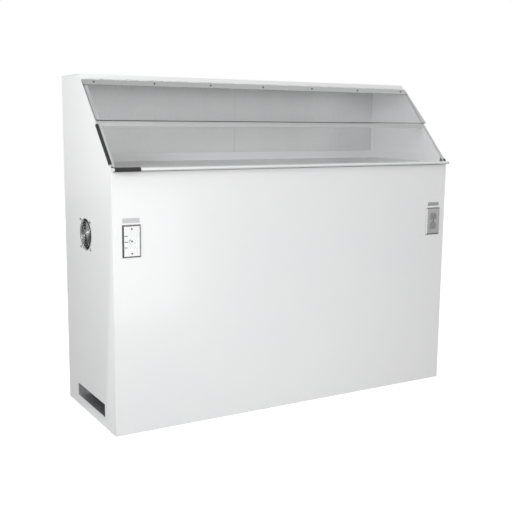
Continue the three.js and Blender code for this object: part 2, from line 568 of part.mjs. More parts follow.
part('prefilter_pad_left', mirrored(pad), M.pad);

// ---------------------------------------------------------------- blower
const spiral = (grow, extra, outX, outLow, outHigh) => {
  const pts = [];
  for (let i = 0; i <= 22; i++) {
    const t = i / 22;
    const a = ((205 - 295 * t) * Math.PI) / 180;
    const r = 134 + 66 * t + grow;
    pts.push([BLOWER.x + r * Math.cos(a), BLOWER.z + r * Math.sin(a)]);
  }
  pts.push([BLOWER.x + outX, BLOWER.z + outLow], [BLOWER.x + outX, BLOWER.z + outHigh], [BLOWER.x - 136 + extra, BLOWER.z + outHigh]);
  return pts;
};
part('blower_housing', cut(
  join(
    prismY(spiral(0, 0, -210, -200, -100), -BLOWER.half, BLOWER.half),
    ...[-1, 1].map((s) => box(BLOWER.x + s * 70 - 15, BLOWER.x + s * 70 + 15, -BLOWER.half, BLOWER.half, under, 60)),
  ),
  prismY(spiral(-1.5, 0, -215, -198.5, -101.5), -BLOWER.half + 1.5, BLOWER.half - 1.5),
  cylY(88, -BLOWER.half - 5, -BLOWER.half + 5, BLOWER.x, BLOWER.z, 32),
  cylY(14, BLOWER.half - 5, BLOWER.half + 5, BLOWER.x, BLOWER.z, 16),
), M.galvanised);
const blowerGroup = new THREE.Group();
blowerGroup.position.set(BLOWER.x, 0, BLOWER.z);
hood.add(blowerGroup);
const vanes = Array.from({ length: 28 }, (_, k) => {
  const g = new THREE.BoxGeometry(20, 98, 1.4);
  g.applyMatrix4(new THREE.Matrix4().makeRotationY((35 * Math.PI) / 180));
  g.translate(104, -1, 0);
  g.applyMatrix4(new THREE.Matrix4().makeRotationY((k * 2 * Math.PI) / 28));
  return g;
});
part('blower_wheel', join(
  cylY(116, 44, 46, 0, 0, 36),
  prismY(circle(116, 36), -52, -49, [circle(93, 36)]),
  ...vanes,
  cylY(22, 24, 50, 0, 0, 16),
  cylY(7, 10, 84, 0, 0, 12),
), M.galvanised, blowerGroup);
part('blower_motor', cut(
  join(
    cylY(76, BLOWER.half + GAP, BLOWER.half + 5, 0, 0, 24),
    cylY(64, BLOWER.half + 5, BLOWER.half + 120, 0, 0, 24),
    cylY(40, BLOWER.half + 120, BLOWER.half + 134, 0, 0, 24),
    box(-30, 30, BLOWER.half + 30, BLOWER.half + 90, 55, 84),
  ),
  cylY(8.5, BLOWER.half - 5, BLOWER.half + 32, 0, 0, 12),
), M.motor, blowerGroup);

// Duct from the blower's mouth to the low opening in the left side.
const dx0 = BLOWER.x - 210 - GAP, dx1 = -HX + under;
const mouth = (m) => [-BLOWER.half + 1.5 - m, BLOWER.half - 1.5 + m, BLOWER.z - 198.5 - m, BLOWER.z - 101.5 + m];
const port = (m) => [OUTLET_Y[0] - m, OUTLET_Y[1] + m, OUTLET_Z[0] - m, OUTLET_Z[1] + m];
const lerp = (a, b, t) => a.map((v, i) => v + (b[i] - v) * t);
const over = 5 / (dx0 - dx1);
part('discharge_duct', cut(
  between('x', dx0, mouth(1.5), dx1, port(1.5)),
  between('x', dx0 + 5, lerp(mouth(0), port(0), -over), dx1 - 5, lerp(mouth(0), port(0), 1 + over)),
), M.galvanised);

export default hood;
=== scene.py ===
# Fume hood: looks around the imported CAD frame.
import json
import math
import random

import bmesh
import bpy
from mathutils import Matrix, Vector

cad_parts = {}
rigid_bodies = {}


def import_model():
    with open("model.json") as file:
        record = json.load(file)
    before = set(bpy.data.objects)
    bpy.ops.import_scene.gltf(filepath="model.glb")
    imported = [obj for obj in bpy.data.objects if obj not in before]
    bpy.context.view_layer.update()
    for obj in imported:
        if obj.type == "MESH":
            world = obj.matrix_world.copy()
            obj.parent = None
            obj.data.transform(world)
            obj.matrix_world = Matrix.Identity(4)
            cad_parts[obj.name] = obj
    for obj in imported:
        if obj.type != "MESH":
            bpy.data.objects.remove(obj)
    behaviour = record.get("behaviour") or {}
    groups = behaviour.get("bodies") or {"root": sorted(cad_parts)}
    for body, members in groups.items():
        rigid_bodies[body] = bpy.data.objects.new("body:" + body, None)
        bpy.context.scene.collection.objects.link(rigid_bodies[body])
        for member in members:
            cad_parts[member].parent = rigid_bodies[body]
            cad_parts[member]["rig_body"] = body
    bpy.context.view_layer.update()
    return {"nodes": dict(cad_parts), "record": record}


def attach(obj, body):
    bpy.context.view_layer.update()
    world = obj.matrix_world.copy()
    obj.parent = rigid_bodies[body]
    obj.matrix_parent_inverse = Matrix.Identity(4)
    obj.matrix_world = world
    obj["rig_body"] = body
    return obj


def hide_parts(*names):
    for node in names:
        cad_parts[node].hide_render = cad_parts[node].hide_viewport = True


for o in list(bpy.data.objects):
    bpy.data.objects.remove(o, do_unlink=True)

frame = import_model()
NODES = frame["nodes"]
scene = bpy.context.scene
MM = 0.001

# ------------------------------------------------------------------ camera
YAW, PITCH, ROLL = math.radians(30.318), math.radians(9.134), math.radians(0.5296)
fw = Vector((math.sin(YAW) * math.cos(PITCH), math.cos(YAW) * math.cos(PITCH), -math.sin(PITCH)))
right = Vector((math.cos(YAW), -math.sin(YAW), 0))
up = right.cross(fw)
r2 = right * math.cos(ROLL) + up * math.sin(ROLL)
u2 = up * math.cos(ROLL) - right * math.sin(ROLL)
cam_data = bpy.data.cameras.new("photo_camera")
cam_data.sensor_width = 36
cam_data.lens = 58.96
cam_data.clip_start = 0.05
cam_data.clip_end = 60
cam = bpy.data.objects.new("photo_camera", cam_data)
m = Matrix((
    (r2.x, u2.x, -fw.x, -1.78356),
    (r2.y, u2.y, -fw.y, -2.99435),
    (r2.z, u2.z, -fw.z, 1.12653),
    (0, 0, 0, 1)))
cam.matrix_world = m
scene.collection.objects.link(cam)
scene.camera = cam

# ------------------------------------------------------------------ light
scene.view_settings.view_transform = "Standard"
scene.view_settings.look = "None"
scene.view_settings.exposure = 0.0
scene.view_settings.gamma = 1.0

world = bpy.data.worlds.new("studio")
scene.world = world
world.use_nodes = True
wt = world.node_tree
wt.nodes.clear()
w_out = wt.nodes.new("ShaderNodeOutputWorld")
w_mix = wt.nodes.new("ShaderNodeMixShader")
w_path = wt.nodes.new("ShaderNodeLightPath")
w_cam = wt.nodes.new("ShaderNodeBackground")
w_cam.inputs["Color"].default_value = (1, 1, 1, 1)
w_cam.inputs["Strength"].default_value = 1.0
w_amb = wt.nodes.new("ShaderNodeBackground")
w_tc = wt.nodes.new("ShaderNodeTexCoord")
# The room's own light: an even level, and soft lobes from a few sides.
LOBES = [((0, -0.7, 0.7), 0.515), ((0.7, -0.2, 0.7), 0.13), ((0, -1, 0), 0.54), ((-1, 0, 0), 0.74), ((1, 0, 0), 0.36), ((0, 1, 0), 0.54)]
w_sum = None
for direction, strength in LOBES:
    d = wt.nodes.new("ShaderNodeVectorMath"); d.operation = "DOT_PRODUCT"
    d.inputs[1].default_value = Vector(direction).normalized()
    wt.links.new(w_tc.outputs["Generated"], d.inputs[0])
    c = wt.nodes.new("ShaderNodeMath"); c.operation = "MAXIMUM"; c.inputs[1].default_value = 0.0
    wt.links.new(d.outputs["Value"], c.inputs[0])
    k = wt.nodes.new("ShaderNodeMath"); k.operation = "MULTIPLY_ADD"
    k.inputs[1].default_value = strength
    k.inputs[2].default_value = 0.018
    wt.links.new(c.outputs[0], k.inputs[0])
    if w_sum is not None:
        wt.links.new(w_sum.outputs[0], k.inputs[2])
    w_sum = k
wt.links.new(w_sum.outputs[0], w_amb.inputs["Strength"])
wt.links.new(w_path.outputs["Is Camera Ray"], w_mix.inputs["Fac"])
wt.links.new(w_amb.outputs["Background"], w_mix.inputs[1])
wt.links.new(w_cam.outputs["Background"], w_mix.inputs[2])
wt.links.new(w_mix.outputs["Shader"], w_out.inputs["Surface"])


def area(name, at, look, size, power, size_y=None):
    d = bpy.data.lights.new(name, "AREA")
    d.shape = "RECTANGLE"
    d.size = size
    d.size_y = size_y or size
    d.energy = power
    o = bpy.data.objects.new(name, d)
    o.location = at
    o.rotation_euler = (Vector(look) - Vector(at)).to_track_quat("-Z", "Y").to_euler()
    o.visible_camera = False
    scene.collection.objects.link(o)
    return o


area("key_side", (-2.0, -1.0, 1.5), (-0.76, -0.2, 1.0), 0.6, 13.2)
area("key_high", (-2.0, -0.6, 2.5), (-0.9, -0.1, 1.0), 0.9, 3.2)
area("rear_left", (-3.0, 2.0, 2.6), (-0.76, 0.1, 0.9), 1.6, 11.9)
area("fill_low", (-0.2, -1.9, 0.25), (-0.2, -0.26, 0.1), 1.0, 8.0)


# ------------------------------------------------------------------ materials
def new_mat(name):
    mat = bpy.data.materials.new(name)
    mat.use_nodes = True
    nt = mat.node_tree
    nt.nodes.clear()
    out = nt.nodes.new("ShaderNodeOutputMaterial")
    p = nt.nodes.new("ShaderNodeBsdfPrincipled")
    nt.links.new(p.outputs[0], out.inputs["Surface"])
    return mat, nt, p


def coords(nt, scale=(1, 1, 1), rot=(0, 0, 0)):
    tc = nt.nodes.new("ShaderNodeTexCoord")
    mp = nt.nodes.new("ShaderNodeMapping")
    mp.inputs["Scale"].default_value = scale
    mp.inputs["Rotation"].default_value = rot
    nt.links.new(tc.outputs["Object"], mp.inputs["Vector"])
    return mp.outputs["Vector"]


def noise(nt, vec, scale, detail=4.0, rough=0.55, dist=0.0):
    n = nt.nodes.new("ShaderNodeTexNoise")
    n.inputs["Scale"].default_value = scale
    n.inputs["Detail"].default_value = detail
    n.inputs["Roughness"].default_value = rough
    n.inputs["Distortion"].default_value = dist
    nt.links.new(vec, n.inputs["Vector"])
    return n.outputs["Fac"]


def ramp(nt, fac, c0, c1, p0=0.3, p1=0.7):
    r = nt.nodes.new("ShaderNodeValToRGB")
    r.color_ramp.elements[0].position = p0
    r.color_ramp.elements[0].color = (*c0, 1)
    r.color_ramp.elements[1].position = p1
    r.color_ramp.elements[1].color = (*c1, 1)
    nt.links.new(fac, r.inputs["Fac"])
    return r.outputs["Color"]


def span(nt, fac, a, b, lo_=0.3, hi_=0.7):
    mr = nt.nodes.new("ShaderNodeMapRange")
    mr.inputs["From Min"].default_value = lo_
    mr.inputs["From Max"].default_value = hi_
    mr.inputs["To Min"].default_value = a
    mr.inputs["To Max"].default_value = b
    nt.links.new(fac, mr.inputs["Value"])
    return mr.outputs["Result"]


def bump(nt, p, height, distance, strength=1.0, under=None):
    b = nt.nodes.new("ShaderNodeBump")
    b.inputs["Strength"].default_value = strength
    b.inputs["Distance"].default_value = distance
    nt.links.new(height, b.inputs["Height"])
    if under is not None:
        nt.links.new(under, b.inputs["Normal"])
    nt.links.new(b.outputs["Normal"], p.inputs["Normal"])
    return b.outputs["Normal"]


def powder_coat(name, base=0.90):
    mat, nt, p = new_mat(name)
    v = coords(nt)
    p.inputs["Roughness"].default_value = 0.30
    p.inputs["Coat Weight"].default_value = 0.35
    p.inputs["Coat Roughness"].default_value = 0.10
    big = noise(nt, v, 2.2, 3)
    nt.links.new(ramp(nt, big, (base * 0.985, base * 0.99, base), (base * 1.01, base * 1.012, base * 1.014)), p.inputs["Base Color"])
    mid = noise(nt, v, 90, 3)
    nt.links.new(span(nt, mid, 0.29, 0.33), p.inputs["Roughness"])
    peel = noise(nt, v, 420, 2, 0.4)
    bump(nt, p, peel, 0.00003, 0.22)
    return mat


def brushed(name, along="x", base=0.62, rough=(0.24, 0.36), grain_and_reflection_bands=0.05, depth=0.00002, tint=(1, 1.003, 1.008), metal=1.0):
    mat, nt, p = new_mat(name)
    s = {"x": (1, 40, 40), "y": (40, 1, 40), "z": (40, 40, 1)}[along]
    v = coords(nt, s)
    p.inputs["Metallic"].default_value = metal
    fine = noise(nt, v, 24, 4, 0.6)
    w = coords(nt, {"x": (0.25, 3, 3), "y": (3, 0.25, 3), "z": (3, 3, 0.25)}[along])
    # Broad soft tone bands along the grain: partly real tonal variation of the brushed sheet, partly painted reflection
    # standing in for soft reflections in the steel.
    soft = noise(nt, w, 1.6, 2)
    add = nt.nodes.new("ShaderNodeMath"); add.operation = "ADD"
    nt.links.new(span(nt, fine, -0.035, 0.035), add.inputs[0])
    nt.links.new(span(nt, soft, -grain_and_reflection_bands, grain_and_reflection_bands), add.inputs[1])
    c = ramp(nt, add.outputs[0], tuple(base * 0.86 * t for t in tint), tuple(base * 1.12 * t for t in tint), 0.0, 1.0)
    sh = nt.nodes.new("ShaderNodeMath"); sh.operation = "ADD"; sh.inputs[1].default_value = 0.5
    nt.links.new(add.outputs[0], sh.inputs[0])
    for l in list(nt.links):
        if l.to_node.type == "VALTORGB":
            nt.links.remove(l)
    rnode = [n for n in nt.nodes if n.type == "VALTORGB"][0]
    nt.links.new(sh.outputs[0], rnode.inputs["Fac"])
    nt.links.new(c, p.inputs["Base Color"])
    nt.links.new(span(nt, fine, rough[0], rough[1]), p.inputs["Roughness"])
    bump(nt, p, fine, depth, 0.5)
    return mat


def plain(name, c0, c1, rough=(0.4, 0.5), scale=60, metal=0.0, bscale=900, bdist=0.00004, bstr=0.6, coat=0.0, spec=0.5):
    mat, nt, p = new_mat(name)
    v = coords(nt)
    p.inputs["Metallic"].default_value = metal
    p.inputs["Specular IOR Level"].default_value = spec
    if coat:
        p.inputs["Coat Weight"].default_value = coat
        p.inputs["Coat Roughness"].default_value = 0.12
    n = noise(nt, v, scale, 4)
    nt.links.new(ramp(nt, n, c0, c1), p.inputs["Base Color"])
    nt.links.new(span(nt, n, rough[0], rough[1]), p.inputs["Roughness"])
    bump(nt, p, noise(nt, v, bscale, 3), bdist, bstr)
    return mat


def galvanised_mat(name):
    mat, nt, p = new_mat(name)
    v = coords(nt)
    p.inputs["Metallic"].default_value = 0.9
    vo = nt.nodes.new("ShaderNodeTexVoronoi")
    vo.inputs["Scale"].default_value = 120
    vo.inputs["Randomness"].default_value = 1.0
    nt.links.new(v, vo.inputs["Vector"])
    sep = nt.nodes.new("ShaderNodeSeparateColor")
    nt.links.new(vo.outputs["Color"], sep.inputs[0])
    nt.links.new(ramp(nt, sep.outputs[0], (0.40, 0.41, 0.42), (0.56, 0.57, 0.58), 0.0, 1.0), p.inputs["Base Color"])
    nt.links.new(span(nt, sep.outputs[1], 0.32, 0.52, 0, 1), p.inputs["Roughness"])
    bump(nt, p, noise(nt, v, 500, 3), 0.00003, 0.5)
    return mat


def clear_sheet(name):
    mat, nt, p = new_mat(name)
    v = coords(nt)
    out = [n for n in nt.nodes if n.type == "OUTPUT_MATERIAL"][0]
    p.inputs["Base Color"].default_value = (0.97, 0.975, 0.975, 1)
    p.inputs["Transmission Weight"].default_value = 1.0
    p.inputs["IOR"].default_value = 1.49
    nt.links.new(span(nt, noise(nt, v, 35, 4), 0.01, 0.045), p.inputs["Roughness"])
    bump(nt, p, noise(nt, v, 6, 2), 0.0002, 0.08)
    tr = nt.nodes.new("ShaderNodeBsdfTransparent")
    tr.inputs["Color"].default_value = (0.97, 0.975, 0.975, 1)
    mix = nt.nodes.new("ShaderNodeMixShader")
    lp = nt.nodes.new("ShaderNodeLightPath")
    nt.links.new(lp.outputs["Is Shadow Ray"], mix.inputs["Fac"])
    nt.links.new(p.outputs[0], mix.inputs[1])
    nt.links.new(tr.outputs[0], mix.inputs[2])
    nt.links.new(mix.outputs[0], out.inputs["Surface"])
    return mat


def rubber(name, tone=0.022, rough=(0.5, 0.66)):
    return plain(name, (tone * 0.8,) * 3, (tone * 1.35,) * 3, rough, 40, 0.0, 1400, 0.00005, 0.7)


def felt(name):
    mat, nt, p = new_mat(name)
    v = coords(nt)
    p.inputs["Sheen Weight"].default_value = 0.4
    p.inputs["Roughness"].default_value = 0.95
    a = noise(nt, v, 500, 8, 0.7, 1.5)
    b = noise(nt, v, 22, 4)
    nt.links.new(ramp(nt, b, (0.76, 0.77, 0.76), (0.86, 0.87, 0.86)), p.inputs["Base Color"])
    bump(nt, p, a, 0.0008, 0.9)
    return mat


def granules(name):
    mat, nt, p = new_mat(name)
    v = coords(nt)
    vo = nt.nodes.new("ShaderNodeTexVoronoi")
    vo.inputs["Scale"].default_value = 260
    nt.links.new(v, vo.inputs["Vector"])
    nt.links.new(ramp(nt, vo.outputs["Distance"], (0.05, 0.05, 0.052), (0.012, 0.012, 0.013), 0.0, 0.7), p.inputs["Base Color"])
    p.inputs["Roughness"].default_value = 0.7
    bump(nt, p, vo.outputs["Distance"], 0.001, 0.8)
    return mat


MAT = {
    "painted_white": powder_coat("white_powder_coat"),
    "stainless": brushed("stainless_brushed", "x", 0.84, (0.26, 0.38), 0.05, metal=0.62),
    "stainless_vertical": brushed("stainless_brushed_vertical", "z", 0.70, (0.26, 0.38), 0.08, metal=0.85),
    "stainless_side": brushed("stainless_side", "z", 0.90, (0.34, 0.46), 0.04, metal=0.3),
    "stainless_rail": brushed("stainless_rail", "x", 0.62, (0.30, 0.42), 0.02, metal=0.25),
    "stainless_pan": brushed("stainless_pan", "x", 0.88, (0.30, 0.42), 0.03, metal=0.25),
    "screw_dark": plain("screw_dark", (0.07, 0.07, 0.072), (0.11, 0.11, 0.112), (0.3, 0.42), 400, 0.8, 2500, 0.00001, 0.4),
    "strip_steel": brushed("strip_steel", "y", 0.60, (0.26, 0.36), 0.02, metal=0.25),
    "bright_steel": brushed("bright_steel", "x", 0.84, (0.16, 0.26), 0.02),
    "clear_sheet": clear_sheet("clear_plastic"),
    # near-black edge faces of the clear sheet: painted shade for the dark look of the acrylic's cut edges
    "clear_edge_painted_shade": plain("clear_plastic_edge_painted_shade", (0.025, 0.027, 0.027), (0.045, 0.047, 0.047), (0.3, 0.4), 80, spec=0.3),
    "black_rubber": rubber("black_rubber"),
    "pale_rubber": plain("pale_rubber", (0.62, 0.62, 0.61), (0.72, 0.72, 0.71), (0.45, 0.6), 90),
    "black_plastic": plain("black_plastic", (0.022, 0.022, 0.023), (0.034, 0.034, 0.036), (0.36, 0.5), 70, 0.0, 1100, 0.00004, 0.7),
    "guard_wire": plain("guard_wire", (0.72, 0.725, 0.73), (0.80, 0.805, 0.81), (0.14, 0.22), 200, 1.0, 1500, 0.00001, 0.3),
    "fan_blades": plain("fan_blades", (0.10, 0.10, 0.102), (0.13, 0.13, 0.132), (0.34, 0.46), 70, 0.0, 1100, 0.00003, 0.5),
    "cover_plate": brushed("cover_plate", "z", 0.42, (0.22, 0.32), 0.02),
    "socket_cover": brushed("socket_cover", "z", 0.76, (0.30, 0.42), 0.04),
    "label_dark": plain("label_dark", (0.36, 0.37, 0.38), (0.42, 0.43, 0.44), (0.45, 0.55), 120, 0.0, 900, 0.00002, 0.4),
    # darker steel on the cover plates' bevels and sides: painted reflection and painted shade for the dark surroundings
    # the polished bevels reflect
    "plate_edge_painted_reflection": brushed("plate_edge_painted_reflection", "x", 0.30, (0.16, 0.26), 0.02),
    "socket_plastic": plain("socket_plastic", (0.30, 0.30, 0.305), (0.36, 0.36, 0.365), (0.3, 0.4), 60, 0.0, 700, 0.00002, 0.4, 0.2),
    "label_grey": plain("label_grey", (0.58, 0.59, 0.60), (0.64, 0.65, 0.66), (0.45, 0.55), 120, 0.0, 900, 0.00002, 0.4),
    "galvanised": galvanised_mat("galvanised_steel"),
    "motor_enamel": plain("motor_enamel", (0.05, 0.055, 0.06), (0.075, 0.08, 0.085), (0.35, 0.5), 50, 0.0, 600, 0.00006, 0.6, 0.2),
    "charcoal_media": granules("carbon_granules"),
    "screw_steel": plain("screw_steel", (0.42, 0.425, 0.43), (0.52, 0.525, 0.53), (0.22, 0.34), 400, 1.0, 2500, 0.00001, 0.4),
    "hub_foil": plain("hub_foil", (0.62, 0.625, 0.63), (0.70, 0.705, 0.71), (0.3, 0.42), 300, 0.6, 1500, 0.00001, 0.3),
    "mark_ink": plain("mark_ink", (0.10, 0.10, 0.102), (0.14, 0.14, 0.142), (0.5, 0.6), 400, 0.0, 1500, 0.00001, 0.3),
    "filter_felt": felt("filter_felt"),
}


# ------------------------------------------------------------------ CAD nodes kept as they are
def clean_group(name, degrees):
    g = bpy.data.node_groups.new(name, "GeometryNodeTree")
    g.interface.new_socket("Geometry", in_out="INPUT", socket_type="NodeSocketGeometry")
    g.interface.new_socket("Geometry", in_out="OUTPUT", socket_type="NodeSocketGeometry")
    gi = g.nodes.new("NodeGroupInput")
    go = g.nodes.new("NodeGroupOutput")
    merge = g.nodes.new("GeometryNodeMergeByDistance")
    merge.inputs["Distance"].default_value = 0.00001
    r1 = g.nodes.new("GeometryNodeRemoveAttribute")
    r1.inputs["Name"].default_value = "custom_normal"
    r2_ = g.nodes.new("GeometryNodeRemoveAttribute")
    r2_.inputs["Name"].default_value = "sharp_face"
    r3 = g.nodes.new("GeometryNodeRemoveAttribute")
    r3.inputs["Name"].default_value = "sharp_edge"
    ang = g.nodes.new("GeometryNodeInputMeshEdgeAngle")
    cmp_ = g.nodes.new("FunctionNodeCompare")
    cmp_.data_type = "FLOAT"
    cmp_.operation = "GREATER_THAN"
    cmp_.inputs["B"].default_value = math.radians(degrees)
    sm = g.nodes.new("GeometryNodeSetShadeSmooth")
    sm.domain = "EDGE"
    sm.inputs["Shade Smooth"].default_value = False
    L = g.links.new
    L(gi.outputs[0], merge.inputs["Geometry"])
    L(merge.outputs[0], r1.inputs["Geometry"])
    L(r1.outputs[0], r2_.inputs["Geometry"])
    L(r2_.outputs[0], r3.inputs["Geometry"])
    L(r3.outputs[0], sm.inputs["Geometry"])
    L(ang.outputs["Unsigned Angle"], cmp_.inputs["A"])
    L(cmp_.outputs["Result"], sm.inputs["Selection"])
    L(sm.outputs[0], go.inputs[0])
    return g


CLEAN = clean_group("clean_facets", 34)
CLEAN_ROUND = clean_group("clean_facets_round", 50)


def soften(o, width=0.5, segments=2, angle=34, bevel=True, group=None):
    md = o.modifiers.new("clean", "NODES")
    md.node_group = group or CLEAN
    if bevel:
        b = o.modifiers.new("edge_radius", "BEVEL")
        b.width = width * MM
        b.segments = segments
        b.limit_method = "ANGLE"
        b.angle_limit = math.radians(angle)
        b.harden_normals = True
        b.use_clamp_overlap = True
    return o


def wear(o, mat):
    o.data.materials.clear()
    o.data.materials.append(mat)


SLOT_OF = {s["node"]: s["material_slot"] for s in frame["record"]["subparts"]}
BEVEL = {"hinge_pin": 0, "hinge_leaf_fixed": 0, "hinge_leaf_moving": 0, "visor_rail": 0.25, "work_surface": 0.35,
         "work_grille_left": 0.3, "work_grille_right": 0.3, "fan_frame": 0.8, "edge_trim_left": 0.5, "end_trim_right": 0.5,
         "nosing_trim_left": 0.5, "blower_wheel": 0, "label_strip_left": 0.12, "label_strip_right": 0.12,
         "liner_left": 0.2, "liner_right": 0.2, "liner_back_left": 0.2, "liner_back_right": 0.2}
ROUND = ("hinge_pin", "hinge_leaf_fixed", "hinge_leaf_moving", "visor_rail", "visor_buffer_left", "visor_buffer_right")
for name, o in NODES.items():
    slot = SLOT_OF.get(name, "painted_white")
    key = slot
    if name.startswith("liner_"):
        key = "stainless_side" if name in ("liner_left", "liner_right") else "stainless_vertical"
    if name in ("visor_rail", "work_surface"):
        key = "stainless_rail" if name == "visor_rail" else "stainless_pan"
    if name == "label_strip_right":
        key = "label_dark"
    wear(o, MAT.get(key, MAT["bright_steel"]))
    w = BEVEL.get(name, 0.5)
    if name in ROUND:
        soften(o, w, 2, 50, w > 0, CLEAN_ROUND)
    else:
        soften(o, w, 2, 34, w > 0)

# ------------------------------------------------------------------ mesh helpers
def obj(name, verts, faces, mats, smooth=True, body=None, replaces=(), face_mats=None):
    me = bpy.data.meshes.new(name)
    me.from_pydata([tuple(v) for v in verts], [], faces)
    for mt in (mats if isinstance(mats, (list, tuple)) else [mats]):
        me.materials.append(mt)
    if face_mats:
        me.polygons.foreach_set("material_index", face_mats)
    me.polygons.foreach_set("use_smooth", [smooth] * len(me.polygons))
    me.update()
    o = bpy.data.objects.new(name, me)
    scene.collection.objects.link(o)
    return place(o, body, replaces)


def place(o, body=None, replaces=()):
    if body:
        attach(o, body)
    if replaces:
        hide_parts(*replaces)
    return o


def recalc(o):
    bm = bmesh.new()
    bm.from_mesh(o.data)
    bmesh.ops.remove_doubles(bm, verts=bm.verts, dist=1e-7)
    bmesh.ops.recalc_face_normals(bm, faces=bm.faces)
    bm.to_mesh(o.data)
    bm.free()


def lathe(profile, n=32):
    """Closed solid turned about +Z from (radius, z) points; the first and last points lie on the axis."""
    verts, faces, rings = [], [], []
    for r, z in profile:
        if r < 1e-9:
            rings.append([len(verts)])
            verts.append((0, 0, z))
        else:
            rings.append(list(range(len(verts), len(verts) + n)))
            for i in range(n):
                a = 2 * math.pi * i / n
                verts.append((r * math.cos(a), r * math.sin(a), z))
    for a, b in zip(rings, rings[1:]):
        for i in range(n):
            j = (i + 1) % n
            if len(a) == 1 and len(b) == 1:
                continue
            if len(a) == 1:
                faces.append((a[0], b[i], b[j]))
            elif len(b) == 1:
                faces.append((a[i], b[0], a[j]))
            else:
                faces.append((a[i], b[i], b[j], a[j]))
    return verts, faces


def xform(verts, mat):
    return [mat @ Vector(v) for v in verts]


def merge(*parts):
    verts, faces = [], []
    for v, f in parts:
        k = len(verts)
        verts += list(v)
        faces += [tuple(i + k for i in face) for face in f]
    return verts, faces


def tube(points, r, n=10, closed=False):
    pts = [Vector(p) for p in points]
    m_ = len(pts)
    verts, faces = [], []
    ref = None
    for i, p in enumerate(pts):
        a = pts[(i - 1) % m_] if (closed or i > 0) else p
        b = pts[(i + 1) % m_] if (closed or i < m_ - 1) else p
        t = (b - a).normalized()
        if ref is None:
            ref = t.orthogonal().normalized()
        ref = (ref - t * ref.dot(t)).normalized()
        s_ = t.cross(ref)
        for k in range(n):
            q = 2 * math.pi * k / n
            verts.append(p + (ref * math.cos(q) + s_ * math.sin(q)) * r)
    rows = m_ if closed else m_ - 1
    for i in range(rows):
        for k in range(n):
            a, b = i * n, ((i + 1) % m_) * n
            faces.append((a + k, a + (k + 1) % n, b + (k + 1) % n, b + k))
    if not closed:
        faces.append(tuple(reversed(range(n))))
        faces.append(tuple(range((m_ - 1) * n, m_ * n)))
    return verts, faces


def boxv(x0, x1, y0, y1, z0, z1):
    v = [(x, y, z) for z in (z0, z1) for y in (y0, y1) for x in (x0, x1)]
    f = [(0, 2, 3, 1), (4, 5, 7, 6), (0, 1, 5, 4), (2, 6, 7, 3), (0, 4, 6, 2), (1, 3, 7, 5)]
    return v, f


def hexnut(af, z0, z1, bore=0.0):
    """Hexagon nut with chamfered corners, about +Z."""
    n, R = 48, af / math.cos(math.pi / 6) / 2
    prof = []
    verts, faces = [], []
    rings = []
    levels = [(z0, 0.93), (z0 + (z1 - z0) * 0.12, 1.0), (z1 - (z1 - z0) * 0.12, 1.0), (z1, 0.93)]
    for z, k in levels:
        ring = []
        for i in range(n):
            a = 2 * math.pi * i / n
            local = (a + math.pi / 6) % (math.pi / 3) - math.pi / 6
            rr = min(af / 2 / math.cos(local), R * k if k < 1 else 9e9)
            ring.append(len(verts))
            verts.append((rr * math.cos(a), rr * math.sin(a), z))
        rings.append(ring)
    for a, b in zip(rings, rings[1:]):
        for i in range(n):
            faces.append((a[i], a[(i + 1) % n], b[(i + 1) % n], b[i]))
    faces.append(tuple(reversed(rings[0])))
    faces.append(tuple(rings[-1]))
    return verts, faces


_cache = {}


def screw_mesh(key, head_r, head_h, shaft_r, depth, recess=True):
    """Pan-head screw with a cross recess; its head sits on z = 0 and points to +Z. Millimetres in, metres out."""
    if key in _cache:
        return _cache[key]
    prof = [(0, -depth), (shaft_r * 0.75, -depth), (shaft_r, -depth + 0.8), (shaft_r, -0.05), (head_r, -0.0)]
    prof += [(head_r, head_h * 0.28)]
    for i in range(1, 7):
        a = i / 6 * math.pi / 2
        prof.append((head_r * (0.62 + 0.38 * math.cos(a)), head_h * (0.28 + 0.72 * math.sin(a))))
    prof.append((0, head_h * 1.02))
    v, f = lathe(prof, 36)
    me = bpy.data.meshes.new(key)
    me.from_pydata([tuple(Vector(p) * MM) for p in v], [], f)
    me.update()
    o = bpy.data.objects.new(key, me)
    scene.collection.objects.link(o)
    recalc(o)
    if recess:
        w, L_ = head_r * 0.17, head_r * 0.56
        cv, cf = merge(boxv(-w, w, -L_, L_, head_h * 0.38, head_h * 1.5))
        cm = bpy.data.meshes.new(key + "_cut")
        cm.from_pydata([tuple(Vector(p) * MM) for p in cv], [], cf)
        co = bpy.data.objects.new(key + "_cut", cm)
        cv2, cf2 = boxv(-L_, L_, -w, w, head_h * 0.38, head_h * 1.5)
        cm2 = bpy.data.meshes.new(key + "_cut2")
        cm2.from_pydata([tuple(Vector(p) * MM) for p in cv2], [], cf2)
        co2 = bpy.data.objects.new(key + "_cut2", cm2)
        for c in (co, co2):
            scene.collection.objects.link(c)
            recalc(c)
            bo = o.modifiers.new("recess", "BOOLEAN")
            bo.operation = "DIFFERENCE"
            bo.solver = "EXACT"
            bo.object = c
        bpy.context.view_layer.update()
        dg = bpy.context.evaluated_depsgraph_get()
        me2 = bpy.data.meshes.new_from_object(o.evaluated_get(dg))
        bpy.data.objects.remove(co)
        bpy.data.objects.remove(co2)
    else:
        me2 = me.copy()
    bpy.data.objects.remove(o)
    for q in me2.polygons:
        q.use_smooth = True
    me2.set_sharp_from_angle(angle=math.radians(38))
    _cache[key] = me2
    return me2


def screw(name, key, dims, at, mat, rot, body, replaces=()):
    me = screw_mesh(key, *dims).copy()
    me.name = name
    me.materials.clear()
    me.materials.append(mat)
    me.transform(Matrix.Translation(at) @ rot)
    o = bpy.data.objects.new(name, me)
    scene.collection.objects.link(o)
    return place(o, body, replaces)


